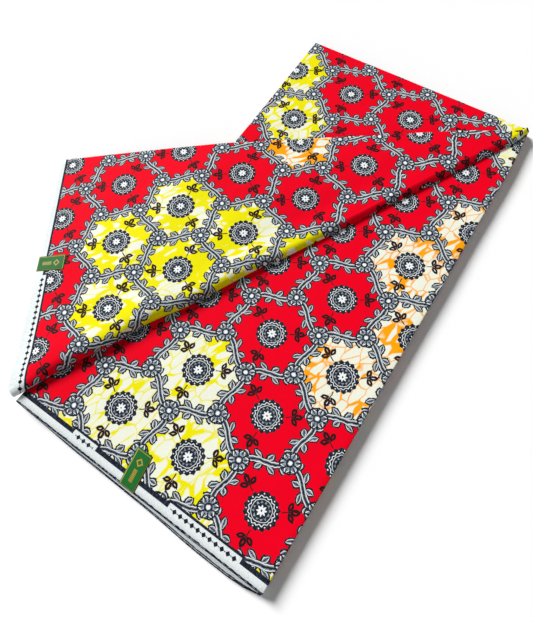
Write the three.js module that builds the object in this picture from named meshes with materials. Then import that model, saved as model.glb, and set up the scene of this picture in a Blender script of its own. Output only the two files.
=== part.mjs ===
// A length of wax print cotton, folded for sale and lying on a table.
//
// The loom-wide cloth is doubled, selvedge to selvedge, and then folded to and fro into a
// flat stack. The top panel is turned over on its diagonal, so that a large triangle of it,
// the flap, shows its face and reaches past the stack's left edge down to the table.
//
// Millimetres, +Z up. X runs across the panel, from fold to fold, and Y along it, from the
// selvedges (near, -Y) to the doubling fold (far, +Y). The origin is the centre of the
// underside.
//
// Nodes: folded_stack, front_panel, turned_panel, near_label, flap_label.

import * as THREE from "three";

// ---------------------------------------------------------------- driving dimensions

const PANEL_WIDTH = 310; // one fold to the next
const PANEL_LENGTH = 600; // half of the 1.2 m loom width
const WALL = 1.1; // a doubled cloth with the air in it
const GAP = 0.3; // between pieces that touch
const STACK_TOP = 10.6; // the hidden panels, pressed
const HIDDEN_PANELS = 16;
const CORNER_CUT = 4; // off each corner of the stack
const GROOVE = 0.8; // how far the folds' edges round away between panels
const FOLD_GROOVE = 1.5; // between two folds at a side, where two panels turn in one
const SIDE_INSET = 0.8; // the hidden folds lie this far inside the top panels' own
const SLIP = 0.7; // how unevenly the panels lie
const SLIP_TURN = 2.4; // radians from one panel's slip to the next
const SLIP_PHASE = { near: 0.4, far: 1.9, right: 3.1, left: 4.4 };
const SPREAD = { foot: 0.8, swell: 0.2, tuck: 0.55 }; // shares of the reach, foot to top

const FAR_REACH = 4.5; // the hidden panels show past the front panel at the far end
const NEAR_REACH = [
  // and at the selvedge end, most of all towards the right
  { x: -155, reach: 3.0 },
  { x: -57, reach: 5.5 },
  { x: 21, reach: 6.5 },
  { x: 88, reach: 9.2 },
  { x: 125, reach: 9.0 },
  { x: 145, reach: 6.5 },
  { x: 155, reach: 3.0 },
];
const RIGHT_BOW = [
  // the right folds' line, measured out from half the panel's width
  { y: -300, out: -1.5 },
  { y: -120, out: 0.0 },
  { y: 100, out: 2.0 },
  { y: 230, out: 3.5 },
  { y: 300, out: 1.0 },
];

const EDGE_INSET = 1.5; // the front panel's left edge lies inside the fold round it
const WRAP_START = { from: 14, to: 40 }; // along the diagonal, where that fold closes
const LEFT_BOW = 4.5; // the left fold curves in between its two ends

const DIAGONAL = Math.hypot(PANEL_WIDTH, PANEL_LENGTH);
const SKEW = { along: 1, across: 8 }; // the turned corner lies a little askew
const STRIP_PEAK_ALONG = PANEL_LENGTH ** 2 / DIAGONAL; // the far left corner
const STRIP_PEAK_ACROSS = (PANEL_WIDTH * PANEL_LENGTH) / DIAGONAL;
const FLAP_PEAK_ALONG = PANEL_WIDTH ** 2 / DIAGONAL + SKEW.along; // the turned corner
const FLAP_PEAK_ACROSS = STRIP_PEAK_ACROSS + SKEW.across;
const SELVEDGE_BULGE = 8; // the flap's selvedge swings out where it leaves the roll
const BULGE_LENGTH = 100;

const TURNED_ENDS = { near: 0.5, far: 3 }; // the roll stops this far from the two corners
const ROLL = [
  // the soft fold on the diagonal: its height and the width of its upper side, how far its
  // line wanders to the flap's side, and the share of its width by which it hangs over its
  // crease, or leans back from it where that is below zero
  { along: 0, height: 6.4, width: 8, shift: 3.0, belly: 0.08 },
  { along: 60, height: 10.6, width: 10, shift: 5.5, belly: 0.09 },
  { along: 115, height: 11.6, width: 11, shift: 4.0, belly: 0.1 },
  { along: 155, height: 12.2, width: 12, shift: 6.5, belly: 0.1 },
  { along: 210, height: 10.0, width: 10.5, shift: 2.5, belly: 0.08 },
  { along: 280, height: 9.0, width: 10, shift: 3.5, belly: 0.06 },
  { along: 330, height: 6.6, width: 8, shift: 0.5, belly: -0.05 },
  { along: 400, height: 5.6, width: 7, shift: -1.0, belly: -0.15 },
  { along: 520, height: 5.4, width: 7.5, shift: -3.0, belly: -0.22 },
  { along: 600, height: 5.2, width: 8, shift: -5.0, belly: -0.25 },
  { along: 640, height: 4.8, width: 8, shift: -6.5, belly: -0.25 },
  { along: 676, height: 3.2, width: 4, shift: -2.0, belly: -0.25 },
];
const CREASE_RADIUS = 1.4; // under side of that fold, pressed on the front panel
const LEAST_UNDER = 7; // the under part is never shorter than this
const SHIFT_FADE = { from: 10, to: 40 }; // across, where the roll's wandering dies out
const FLAP_LIFT = 4.6; // the springy flap stays this far off the cloth under it
const EDGE_LIFT = 3.2; // and this far at its cut end
const LIFT_LENGTH = 60; // from the cut end to the full lift
const SETTLE_LENGTH = 34; // from the roll's top down to the flap's own height
const OVERHANG = 188; // how far the turned corner reaches past the left edge
const TIP_HEIGHT = 1.35; // middle of the cloth where that corner meets the table
const RAMP_POWER = 1.15; // the flap leaves the stack's edge gently and then runs straight

const WAVE_FADE = 20; // the flap's waves begin this far from the roll
const FLAP_WAVES = [
  // large soft folds of the flap
  { along: 390, across: 33, turn: 0, length: 120, width: 15, height: -1.5 },
  { along: 235, across: 58, turn: 0.2, length: 80, width: 26, height: 1.5 },
  { along: 120, across: 120, turn: -0.3, length: 70, width: 30, height: 1.3 },
  { along: 205, across: 175, turn: 0.5, length: 60, width: 24, height: -1.2 },
];
const FRONT_WAVES = [
  { along: 30, across: -150, turn: 0.6, length: 120, width: 30, height: 0.5 },
  { along: 70, across: 90, turn: -0.4, length: 140, width: 36, height: 0.4 },
  { along: -60, across: -30, turn: 1.1, length: 110, width: 26, height: 0.35 },
];

const LABEL_THICKNESS = 0.5;
const NEAR_LABEL = { x: -2.5, width: 18.5, inward: 35.5, skirt: 1.0, turn: 0.145 };
const FLAP_LABEL = { fromCorner: 157, width: 20.5, inward: 33.5, skirt: 1.2 };

const PACKING = { opening: 1.3, closing: 1.4, afterRoll: 1.5 }; // powers that crowd sections
const LEAST_FLAP = 1; // the flap always reaches this far past the roll
const UNDER_STRIP = { clear: 0.4, share: 0.6 }; // where the flap's sections change pace

const COLOURS = {
  folded_stack: "#c8ccd0",
  front_panel: "#e2123c",
  turned_panel: "#d9b23a",
  near_label: "#237a35",
  flap_label: "#2c8a3f",
};

// ---------------------------------------------------------------- small helpers

const { lerp, smoothstep, clamp } = THREE.MathUtils;

// Reads a table of rows sorted by one column, easing from each row to the next.
function readTable(rows, key, column, at) {
  const last = rows.length - 1;
  if (at <= rows[0][key]) return rows[0][column];
  if (at >= rows[last][key]) return rows[last][column];
  const next = rows.findIndex((row) => row[key] > at);
  const low = rows[next - 1];
  const high = rows[next];
  const share = smoothstep(at, low[key], high[key]);
  return lerp(low[column], high[column], share);
}

// Sums soft oval ridges (or hollows, where the height is negative).
function waveHeight(waves, along, across) {
  let height = 0;
  for (const wave of waves) {
    const da = along - wave.along;
    const db = across - wave.across;
    const a = da * Math.cos(wave.turn) + db * Math.sin(wave.turn);
    const b = db * Math.cos(wave.turn) - da * Math.sin(wave.turn);
    height += wave.height * Math.exp(-((a / wave.length) ** 2) - (b / wave.width) ** 2);
  }
  return height;
}

function spaced(count, from, to) {
  return Array.from({ length: count + 1 }, (_, i) => lerp(from, to, i / count));
}

function solid(positions, faces) {
  const geometry = new THREE.BufferGeometry();
  geometry.setAttribute("position", new THREE.Float32BufferAttribute(positions.flat(), 3));
  geometry.setIndex(faces.flat());
  geometry.computeVertexNormals();
  return geometry;
}

// Closes a wall from two grids of points, the outer over the inner. Rows run to the right
// of the columns when the wall is seen from its outer side.
function clothWall(outer, inner) {
  const rows = outer.length;
  const columns = outer[0].length;
  const offset = rows * columns;
  const faces = [];
  const quad = (a, b, c, d) => faces.push([a, b, c], [a, c, d]);
  for (let i = 0; i + 1 < rows; i += 1) {
    for (let j = 0; j + 1 < columns; j += 1) {
      const a = i * columns + j;
      const b = a + columns;
      quad(a, b, b + 1, a + 1);
      quad(offset + a, offset + a + 1, offset + b + 1, offset + b);
    }
    const left = i * columns;
    const right = left + columns - 1;
    quad(left, offset + left, offset + left + columns, left + columns);
    quad(right, right + columns, offset + right + columns, offset + right);
  }
  for (let j = 0; j + 1 < columns; j += 1) {
    const first = j;
    const final = (rows - 1) * columns + j;
    quad(first, first + 1, offset + first + 1, offset + first);
    quad(final, offset + final, offset + final + 1, final + 1);
  }
  return solid([...outer.flat(), ...inner.flat()], faces);
}

// Closes a stack of level loops, all with the same number of points, counterclockwise
// from above and the lowest first.
function layeredBody(loops) {
  const count = loops[0].length;
  const faces = [];
  for (let i = 0; i + 1 < loops.length; i += 1) {
    for (let j = 0; j < count; j += 1) {
      const a = i * count + j;
      const b = i * count + ((j + 1) % count);
      faces.push([a, b, b + count], [a, b + count, a + count]);
    }
  }
  const cap = THREE.ShapeUtils.triangulateShape(
    loops[0].map(([x, y]) => new THREE.Vector2(x, y)),
    [],
  );
  const top = (loops.length - 1) * count;
  for (const [a, b, c] of cap) {
    faces.push([a, c, b], [top + a, top + b, top + c]);
  }
  return solid(loops.flat(), faces);
}

// ---------------------------------------------------------------- heights of the cloths

const FRONT_BOTTOM = STACK_TOP + GAP;
const FRONT_TOP = FRONT_BOTTOM + WALL;

function frontWave(x, y) {
  return waveHeight(FRONT_WAVES, x, y);
}

function leftEdge(y) {
  return -PANEL_WIDTH / 2 + LEFT_BOW * Math.sin(Math.PI * clamp(y / PANEL_LENGTH + 0.5, 0, 1));
}

function rightEdge(y) {
  return PANEL_WIDTH / 2 + readTable(RIGHT_BOW, "y", "out", y);
}

// Places on the turned panel are counted along the diagonal from the near left corner,
// and across it towards the flap's side.
const ALONG_DIAGONAL = new THREE.Vector2(PANEL_WIDTH, PANEL_LENGTH).normalize();
const ACROSS_DIAGONAL = new THREE.Vector2(-ALONG_DIAGONAL.y, ALONG_DIAGONAL.x);
const NEAR_LEFT = new THREE.Vector2(-PANEL_WIDTH / 2, -PANEL_LENGTH / 2);

function planPoint(along, across) {
  return NEAR_LEFT.clone()
    .addScaledVector(ALONG_DIAGONAL, along)
    .addScaledVector(ACROSS_DIAGONAL, across);
}

function rollShift(along) {
  return readTable(ROLL, "along", "shift", along);
}

function rollWidth(along) {
  return readTable(ROLL, "along", "width", along);
}

function rollHeight(along) {
  return readTable(ROLL, "along", "height", along);
}

// How far the under part reaches from the diagonal: to the left fold, then the far edge.
function stripReach(along) {
  const rising = (along / STRIP_PEAK_ALONG) * STRIP_PEAK_ACROSS;
  const falling = ((DIAGONAL - along) / (DIAGONAL - STRIP_PEAK_ALONG)) * STRIP_PEAK_ACROSS;
  const bow = LEFT_BOW * Math.sin(Math.PI * clamp(along / STRIP_PEAK_ALONG, 0, 1));
  return Math.min(rising, falling) - bow;
}

// How far the flap reaches: to its selvedge, then its cut end.
function flapReach(along) {
  const rising = (along / FLAP_PEAK_ALONG) * FLAP_PEAK_ACROSS;
  const falling = ((DIAGONAL - along) / (DIAGONAL - FLAP_PEAK_ALONG)) * FLAP_PEAK_ACROSS;
  const bulge = SELVEDGE_BULGE * (1 - smoothstep(along, 0, BULGE_LENGTH));
  return Math.min(rising + bulge, falling);
}

function stripHeight(along, across) {
  const place = planPoint(along, across);
  return FRONT_TOP + GAP + WALL / 2 + frontWave(place.x, place.y);
}

// Middle of the flap's cloth: high at the roll, then its own lift off the cloth below,
// then a ramp from the stack's left edge down to the table.
function flapHeight(along, across) {
  const width = rollWidth(along);
  const fromRoll = (across - width) / SETTLE_LENGTH;
  const toCutEnd = Math.max(flapReach(along) - across, 0);
  const rest = WALL + GAP + lerp(EDGE_LIFT, FLAP_LIFT, smoothstep(toCutEnd, 0, LIFT_LENGTH));
  const settled = rest + (rollHeight(along) - rest) / (1 + fromRoll * fromRoll);
  const clearOfRoll = smoothstep(across, width, width + WAVE_FADE);
  const fade = clearOfRoll * smoothstep(toCutEnd, 0, 2 * WAVE_FADE);
  const wave = waveHeight(FLAP_WAVES, along, across) * fade;
  const place = planPoint(along, across);
  const beyond = clamp((-PANEL_WIDTH / 2 - place.x) / OVERHANG, 0, 1);
  const over = FRONT_TOP + GAP + WALL / 2 + settled + wave;
  return lerp(over, TIP_HEIGHT, beyond ** RAMP_POWER);
}

// ---------------------------------------------------------------- folded_stack

// One loop round the hidden panels at half a panel's thickness times the level. Odd levels
// are the middle of a panel, and even ones the groove between two.
function stackLoop(level) {
  const height = (level / (2 * HIDDEN_PANELS)) * STACK_TOP;
  const share = height / STACK_TOP;
  const panel = Math.floor(level / 2);
  const inGroove = level % 2 === 0;
  const endGroove = inGroove ? GROOVE : 0;
  const rightGroove = inGroove && panel % 2 === 1 ? FOLD_GROOVE : 0;
  const leftGroove = inGroove && panel % 2 === 0 ? FOLD_GROOVE : 0;
  const slip = (side) => SLIP * Math.sin(SLIP_TURN * panel + SLIP_PHASE[side]);
  const swell = SPREAD.swell * Math.sin(Math.PI * share);
  const spread = SPREAD.foot + swell - SPREAD.tuck * share ** 3;

  const near = (x) => {
    const reach = readTable(NEAR_REACH, "x", "reach", x) * spread;
    return -PANEL_LENGTH / 2 - reach - slip("near") + endGroove;
  };
  const far = () => PANEL_LENGTH / 2 + FAR_REACH * spread + slip("far") - endGroove;
  const right = (y) => rightEdge(y) - SIDE_INSET + slip("right") - rightGroove;
  const left = (y) => leftEdge(y) + SIDE_INSET - slip("left") + leftGroove;

  const loop = [];
  const halfX = PANEL_WIDTH / 2 - CORNER_CUT - FOLD_GROOVE;
  const halfY = PANEL_LENGTH / 2 - CORNER_CUT;
  for (const x of spaced(14, -halfX, halfX)) loop.push([x, near(x), height]);
  for (const y of spaced(7, -halfY, halfY)) loop.push([right(y), y, height]);
  for (const x of spaced(6, halfX, -halfX)) loop.push([x, far(), height]);
  for (const y of spaced(7, halfY, -halfY)) loop.push([left(y), y, height]);
  return loop;
}

function foldedStack() {
  const loops = [];
  for (let level = 0; level <= 2 * HIDDEN_PANELS; level += 1) loops.push(stackLoop(level));
  return layeredBody(loops);
}

// ---------------------------------------------------------------- front_panel

function frontPanel() {
  const outer = [];
  const inner = [];
  for (const share of spaced(12, 0, 1)) {
    const top = [];
    const under = [];
    for (const y of spaced(20, -PANEL_LENGTH / 2, PANEL_LENGTH / 2)) {
      const place = lerp(leftEdge(y) + EDGE_INSET, rightEdge(y), share);
      const wave = frontWave(place, y);
      top.push([place, y, FRONT_TOP + wave]);
      under.push([place, y, FRONT_BOTTOM + wave]);
    }
    outer.push(top);
    inner.push(under);
  }
  return clothWall(outer, inner);
}

// ---------------------------------------------------------------- turned_panel

// Stations along the diagonal, closer at its two ends, with one at each free corner.
function turnedStations() {
  const first = TURNED_ENDS.near;
  const last = DIAGONAL - TURNED_ENDS.far;
  const opening = spaced(11, 0, 1).map((t) => lerp(first, FLAP_PEAK_ALONG, t ** PACKING.opening));
  const middle = spaced(14, FLAP_PEAK_ALONG, STRIP_PEAK_ALONG).slice(1);
  const closing = spaced(8, 0, 1).map((t) =>
    lerp(STRIP_PEAK_ALONG, last, 1 - (1 - t) ** PACKING.closing),
  );
  return [...opening, ...middle, ...closing.slice(1)];
}

// The middle line of the cloth at one station, as [across, height] pairs: round the front
// panel's left edge, along the under part, round the roll and out along the flap.
function turnedPath(along) {
  const width = rollWidth(along);
  const strip = Math.max(stripReach(along), LEAST_UNDER);
  const flap = Math.max(flapReach(along), width + LEAST_FLAP);
  const path = [];

  const turn = (WALL + GAP) / 2;
  const besideFold = along < STRIP_PEAK_ALONG - 1 ? 1 : 0;
  const wrapped = besideFold * smoothstep(along, WRAP_START.from, WRAP_START.to);
  const edge = stripHeight(along, strip);
  for (const angle of spaced(4, 0, Math.PI)) {
    const flat = strip - (angle / Math.PI) * turn;
    const round = strip - turn + turn * Math.sin(angle);
    const drop = turn * (1 + Math.cos(angle)) * wrapped;
    path.push([lerp(flat, round, wrapped), edge - drop]);
  }
  for (const across of spaced(5, strip - 2 * turn, CREASE_RADIUS)) {
    path.push([across, stripHeight(along, across)]);
  }

  const floor = stripHeight(along, CREASE_RADIUS);
  for (const angle of spaced(3, 0, Math.PI / 2).slice(1)) {
    const across = CREASE_RADIUS * (1 - Math.sin(angle));
    path.push([across, floor + CREASE_RADIUS * (1 - Math.cos(angle))]);
  }
  const rise = rollHeight(along) - CREASE_RADIUS;
  const belly = readTable(ROLL, "along", "belly", along);
  for (const angle of spaced(5, 0, Math.PI / 2).slice(1, -1)) {
    const across = width * (1 - Math.cos(angle) - belly * Math.sin(2 * angle));
    path.push([across, floor + CREASE_RADIUS + rise * Math.sin(angle)]);
  }

  const split = Math.min(
    Math.max(stripReach(along), width + UNDER_STRIP.clear),
    lerp(width, flap, UNDER_STRIP.share),
  );
  const nearRoll = spaced(6, 0, 1).map((t) => lerp(width, split, t ** PACKING.afterRoll));
  for (const across of [...nearRoll, ...spaced(7, split, flap).slice(1)]) {
    path.push([across, flapHeight(along, across)]);
  }
  return path;
}

// Moves a middle line half a wall to either side, square to itself.
function offsetPath(path, distance) {
  return path.map((point, i) => {
    const before = path[Math.max(i - 1, 0)];
    const after = path[Math.min(i + 1, path.length - 1)];
    const dx = after[0] - before[0];
    const dz = after[1] - before[1];
    const length = Math.hypot(dx, dz);
    return [point[0] - (dz / length) * distance, point[1] + (dx / length) * distance];
  });
}

function turnedPanel() {
  const outer = [];
  const inner = [];
  for (const along of turnedStations()) {
    const path = turnedPath(along);
    const shift = rollShift(along);
    const place = ([across, height]) => {
      // The roll's line wanders, and the cloth's free edges stay where they are.
      const fade = 1 - smoothstep(across, SHIFT_FADE.from, SHIFT_FADE.to);
      const plan = planPoint(along, across + shift * fade);
      return [plan.x, plan.y, height];
    };
    outer.push(offsetPath(path, WALL / 2).map(place));
    inner.push(offsetPath(path, -WALL / 2).map(place));
  }
  return clothWall(outer, inner);
}

// ---------------------------------------------------------------- labels

// A sticker follows the cloth in from its edge and turns down over that edge. surface
// gives a point on top of the cloth from a distance inward and a distance sideways.
function edgeLabel({ width, inward, skirt }, outwards, surface) {
  const outer = [];
  const inner = [];
  const clearance = GAP + LABEL_THICKNESS;
  for (const side of spaced(3, width / 2, -width / 2)) {
    const top = [];
    const under = [];
    for (const distance of spaced(5, inward, 0)) {
      const [x, y, z] = surface(distance, side);
      top.push([x, y, z + clearance]);
      under.push([x, y, z + GAP]);
    }
    const [x, y, z] = surface(0, side);
    const out = (reach, height) => [x + outwards.x * reach, y + outwards.y * reach, height];
    top[top.length - 1] = out(clearance, z + clearance);
    under[under.length - 1] = out(GAP, z + GAP);
    top.push(out(clearance, z - skirt));
    under.push(out(GAP, z - skirt));
    outer.push(top);
    inner.push(under);
  }
  return clothWall(outer, inner);
}

function nearLabel() {
  const { x, turn } = NEAR_LABEL;
  return edgeLabel(NEAR_LABEL, new THREE.Vector2(0, -1), (distance, side) => {
    const place = x + side - distance * Math.tan(turn);
    const y = -PANEL_LENGTH / 2 + distance;
    return [place, y, FRONT_TOP + frontWave(place, y)];
  });
}

function flapLabel() {
  const { fromCorner } = FLAP_LABEL;
  const selvedge = new THREE.Vector2(FLAP_PEAK_ALONG, FLAP_PEAK_ACROSS).normalize();
  const square = new THREE.Vector2(selvedge.y, -selvedge.x);
  const outwards = ALONG_DIAGONAL.clone()
    .multiplyScalar(-square.x)
    .addScaledVector(ACROSS_DIAGONAL, -square.y);
  return edgeLabel(FLAP_LABEL, outwards, (distance, side) => {
    const along = selvedge.x * (fromCorner - side) + square.x * distance;
    const onLine = selvedge.y * (fromCorner - side) + square.y * distance;
    const bulge = SELVEDGE_BULGE * (1 - smoothstep(along, 0, BULGE_LENGTH));
    const across = onLine + bulge;
    const plan = planPoint(along, across);
    return [plan.x, plan.y, flapHeight(along, across) + WALL / 2];
  });
}

// ---------------------------------------------------------------- the object

function piece(name, geometry) {
  const material = new THREE.MeshStandardMaterial({
    color: COLOURS[name],
    roughness: 0.75,
    metalness: 0,
  });
  const mesh = new THREE.Mesh(geometry, material);
  mesh.name = name;
  return mesh;
}

const fabric = new THREE.Group();
fabric.add(piece("folded_stack", foldedStack()));
fabric.add(piece("front_panel", frontPanel()));
fabric.add(piece("turned_panel", turnedPanel()));
fabric.add(piece("near_label", nearLabel()));
fabric.add(piece("flap_label", flapLabel()));

export default fabric;
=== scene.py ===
# %% [markdown]
# # A folded length of wax print cotton
#
# The object is one long cut of printed cotton, as it lies on a shop's table. The weaver's wide
# cloth is doubled, selvedge on selvedge, then folded to and fro into a flat stack. The top panel
# is turned over on its diagonal, and a big triangle of it reaches past the stack to the table.
#
# A solid model of it exists already. This script loads that model as a fixed frame, and dresses
# it in thin cloth: first the shapes, then the print and the other finishes, then the light.

import math

import bmesh
import bpy
from mathutils import Matrix, Vector, noise


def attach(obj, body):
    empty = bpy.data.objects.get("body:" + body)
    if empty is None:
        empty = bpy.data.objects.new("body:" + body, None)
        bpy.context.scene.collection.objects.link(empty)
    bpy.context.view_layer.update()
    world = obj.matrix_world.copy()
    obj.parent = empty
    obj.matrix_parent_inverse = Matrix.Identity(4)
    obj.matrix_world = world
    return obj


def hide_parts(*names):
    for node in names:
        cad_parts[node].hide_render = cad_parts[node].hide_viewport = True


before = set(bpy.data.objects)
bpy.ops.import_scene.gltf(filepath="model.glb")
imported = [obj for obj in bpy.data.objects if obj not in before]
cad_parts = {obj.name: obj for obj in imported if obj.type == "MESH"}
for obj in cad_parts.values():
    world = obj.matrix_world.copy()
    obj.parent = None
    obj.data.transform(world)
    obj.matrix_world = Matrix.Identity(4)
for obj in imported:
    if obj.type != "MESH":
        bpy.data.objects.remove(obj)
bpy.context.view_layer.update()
print("solid nodes:", sorted(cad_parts))

# %% [markdown]
# ## Sizes of the folded cloth
#
# Shapes are worked out in millimetres, since a thousandth of a metre is hard to read. X runs
# across a panel, from fold to fold. Y runs along it, from the selvedges at the near end to the
# doubling fold at the far end. The origin is the centre of the underside. The same named sizes
# made the solid model, so cloth made from them lies where the solids are.

# %% Sizes in millimetres
MM = 0.001
PANEL_WIDTH = 310.0
PANEL_LENGTH = 600.0
LEFT = -PANEL_WIDTH / 2
NEAR = -PANEL_LENGTH / 2
WALL = 1.1
GAP = 0.3
STACK_TOP = 10.6
FRONT_BOTTOM = STACK_TOP + GAP
FRONT_TOP = FRONT_BOTTOM + WALL
LAYER = 0.28
print("front panel's top is", FRONT_TOP, "mm up")

# %% Small helpers


def clamp(value, low=0.0, high=1.0):
    return max(low, min(high, value))


def blend(first, second, share):
    return first + (second - first) * share


def ease(value, start, end):
    """Rises from 0 to 1 between start and end, with no corner at either."""
    share = clamp((value - start) / (end - start))
    return share * share * (3 - 2 * share)


def read(rows, at):
    """Reads a table of (place, value) pairs, easing from each to the next."""
    if at <= rows[0][0]:
        return rows[0][1]
    for low, high in zip(rows, rows[1:]):
        if at < high[0]:
            return blend(low[1], high[1], ease(at, low[0], high[0]))
    return rows[-1][1]


def spaced(count, start, end):
    return [blend(start, end, i / count) for i in range(count + 1)]


def waves(rows, along, across):
    """Adds up soft oval ridges, and hollows where the height is below zero."""
    height = 0.0
    for middle_along, middle_across, turn, length, width, top in rows:
        da = along - middle_along
        db = across - middle_across
        a = (da * math.cos(turn) + db * math.sin(turn)) / length
        b = (db * math.cos(turn) - da * math.sin(turn)) / width
        height += top * math.exp(-a * a - b * b)
    return height


print("halfway between two rows:", read([(0, 1.0), (10, 3.0)], 5))

# %% [markdown]
# ## Where the cloth lies
#
# Pressed cloth is never quite flat. A few large, soft swellings stay in it, and its folds bow
# in or out by a few millimetres. Each is a named row below: a middle, a turn, a length, a width
# and a height. Fine creases come from a smooth noise, which gives the same values each time.

# %% The front panel's height and edges
FRONT_WAVES = [
    (30, -150, 0.6, 120, 30, 0.5),
    (70, 90, -0.4, 140, 36, 0.4),
    (-60, -30, 1.1, 110, 26, 0.35),
]
RIGHT_BOW = [(-300, -1.5), (-120, 0.0), (100, 2.0), (230, 3.5), (300, 1.0)]
LEFT_BOW = 4.5
FRONT_CREASES = 0.35


def front_wave(x, y):
    return waves(FRONT_WAVES, x, y)


def left_edge(y):
    return LEFT + LEFT_BOW * math.sin(math.pi * clamp(y / PANEL_LENGTH + 0.5))


def right_edge(y):
    return -LEFT + read(RIGHT_BOW, y)


def crumple(x, y, seed, size=42.0):
    """Small creases, from -1 to 1, that run a little longer one way than the other."""
    place = Vector((x / size, y / (1.6 * size), seed))
    fine = Vector((x / size * 2.7, y / size * 2.1, seed + 7.0))
    return 0.7 * noise.noise(place) + 0.3 * noise.noise(fine)


def front_creases(x, y):
    return FRONT_CREASES * crumple(x, y, 1)


print("left fold bows in by", round(left_edge(0) - LEFT, 2), "mm")

# %% Places along and across the diagonal
DIAGONAL = math.hypot(PANEL_WIDTH, PANEL_LENGTH)
ALONG = Vector((PANEL_WIDTH, PANEL_LENGTH)) / DIAGONAL
ACROSS = Vector((-ALONG.y, ALONG.x))
STRIP_PEAK = (PANEL_LENGTH**2 / DIAGONAL, PANEL_WIDTH * PANEL_LENGTH / DIAGONAL)
FLAP_PEAK = (PANEL_WIDTH**2 / DIAGONAL + 1, STRIP_PEAK[1] + 8)
SELVEDGE_BULGE = 8.0
BULGE_LENGTH = 100.0


def plan(along, across):
    """The place over the table of a point counted from the near left corner."""
    return Vector((LEFT, NEAR)) + ALONG * along + ACROSS * across


def bulge(along):
    return SELVEDGE_BULGE * (1 - ease(along, 0, BULGE_LENGTH))


def reach(peak, along):
    """How far a triangle on the diagonal reaches from it, with its corner at peak."""
    rising = along / peak[0] * peak[1]
    falling = (DIAGONAL - along) / (DIAGONAL - peak[0]) * peak[1]
    return rising, falling


def strip_reach(along):
    bow = LEFT_BOW * math.sin(math.pi * clamp(along / STRIP_PEAK[0]))
    return min(reach(STRIP_PEAK, along)) - bow


def flap_reach(along):
    rising, falling = reach(FLAP_PEAK, along)
    return min(rising + bulge(along), falling)


print("the diagonal is", round(DIAGONAL, 1), "mm long")

# %% The turned panel's heights
ROLL_HEIGHT = [(0, 6.4), (60, 10.6), (115, 11.6), (155, 12.2), (210, 10.0), (280, 9.0)]
ROLL_HEIGHT += [(330, 6.6), (400, 5.6), (520, 5.4), (600, 5.2), (640, 4.8), (676, 3.2)]
ROLL_WIDTH = [(0, 8.0), (60, 10.0), (115, 11.0), (155, 12.0), (210, 10.5), (280, 10.0)]
ROLL_WIDTH += [(330, 8.0), (400, 7.0), (520, 7.5), (600, 8.0), (640, 8.0), (676, 4.0)]
ROLL_SHIFT = [(0, 3.0), (60, 5.5), (115, 4.0), (155, 6.5), (210, 2.5), (280, 3.5)]
ROLL_SHIFT += [(330, 0.5), (400, -1.0), (520, -3.0), (600, -5.0), (640, -6.5), (676, -2.0)]
ROLL_BELLY = [(0, 0.08), (60, 0.09), (115, 0.10), (155, 0.10), (210, 0.08), (280, 0.06)]
ROLL_BELLY += [(330, -0.05), (400, -0.15), (520, -0.22), (600, -0.25)]
FLAP_WAVES = [
    (390, 33, 0, 120, 15, -1.5),
    (235, 58, 0.2, 80, 26, 1.5),
    (120, 120, -0.3, 70, 30, 1.3),
    (205, 175, 0.5, 60, 24, -1.2),
]
CREASE_RADIUS = [(280, 1.4), (400, 0.8)]
SETTLE_LENGTH = 34.0
EDGE_LIFT = 3.2
FLAP_LIFT = 4.6
LIFT_LENGTH = 60.0
WAVE_FADE = 20.0
OVERHANG = 188.0
TIP_HEIGHT = 1.35
RAMP_POWER = 1.15
TURNED_CREASES = 0.55
CALM_EDGE = 12.0


def strip_height(along, across):
    return FRONT_TOP + GAP + WALL / 2 + front_wave(*plan(along, across))


def flap_height(along, across):
    """High at the roll, then a springy lift, then a ramp from the stack to the table."""
    width = read(ROLL_WIDTH, along)
    to_end = max(flap_reach(along) - across, 0.0)
    rest = WALL + GAP + blend(EDGE_LIFT, FLAP_LIFT, ease(to_end, 0, LIFT_LENGTH))
    from_roll = (across - width) / SETTLE_LENGTH
    settled = rest + (read(ROLL_HEIGHT, along) - rest) / (1 + from_roll * from_roll)
    fade = ease(across, width, width + WAVE_FADE) * ease(to_end, 0, 2 * WAVE_FADE)
    wave = waves(FLAP_WAVES, along, across) * fade
    beyond = clamp((LEFT - plan(along, across).x) / OVERHANG)
    over = FRONT_TOP + GAP + WALL / 2 + settled + wave
    return blend(over, TIP_HEIGHT, beyond**RAMP_POWER)


def turned_creases(spot, on_flap):
    return TURNED_CREASES * crumple(spot.x, spot.y, 11 + on_flap)


print("the flap's turned corner is", round(flap_height(*FLAP_PEAK), 2), "mm up")

# %% [markdown]
# ## One way to make every piece of cloth
#
# A cloth could be draped by a simulation, but this one was folded and pressed by hand, and its
# folds are known. So each piece starts as a flat grid, the weave laid out, and every corner of
# the grid is moved to where the folded cloth has it. The same step writes the corner's place on
# the unfolded cloth, in metres, as a UV map. The print reads that map, so it bends with the
# cloth. A Solidify modifier then gives the sheet its thickness.

# %% A sheet from a grid


def make_sheet(name, columns, rows, place, thickness, uv_name="cloth"):
    """place(i, j) gives the spot in millimetres and the pattern's place in metres."""
    mesh = bmesh.new()
    bmesh.ops.create_grid(mesh, x_segments=columns, y_segments=rows, size=0.5)
    uv_layer = mesh.loops.layers.uv.new(uv_name)
    printed = {}
    for corner in mesh.verts:
        i = round((corner.co.x + 0.5) * columns)
        j = round((corner.co.y + 0.5) * rows)
        spot, on_cloth = place(i, j)
        corner.co = Vector(spot) * MM
        printed[corner] = on_cloth
    for face in mesh.faces:
        face.smooth = True
        for loop in face.loops:
            loop[uv_layer].uv = printed[loop.vert]
    data = bpy.data.meshes.new(name)
    mesh.to_mesh(data)
    mesh.free()
    piece = bpy.data.objects.new(name, data)
    bpy.context.scene.collection.objects.link(piece)
    wall = piece.modifiers.new("thickness", "SOLIDIFY")
    wall.thickness = thickness * MM
    wall.offset = 0.0
    return piece


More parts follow.
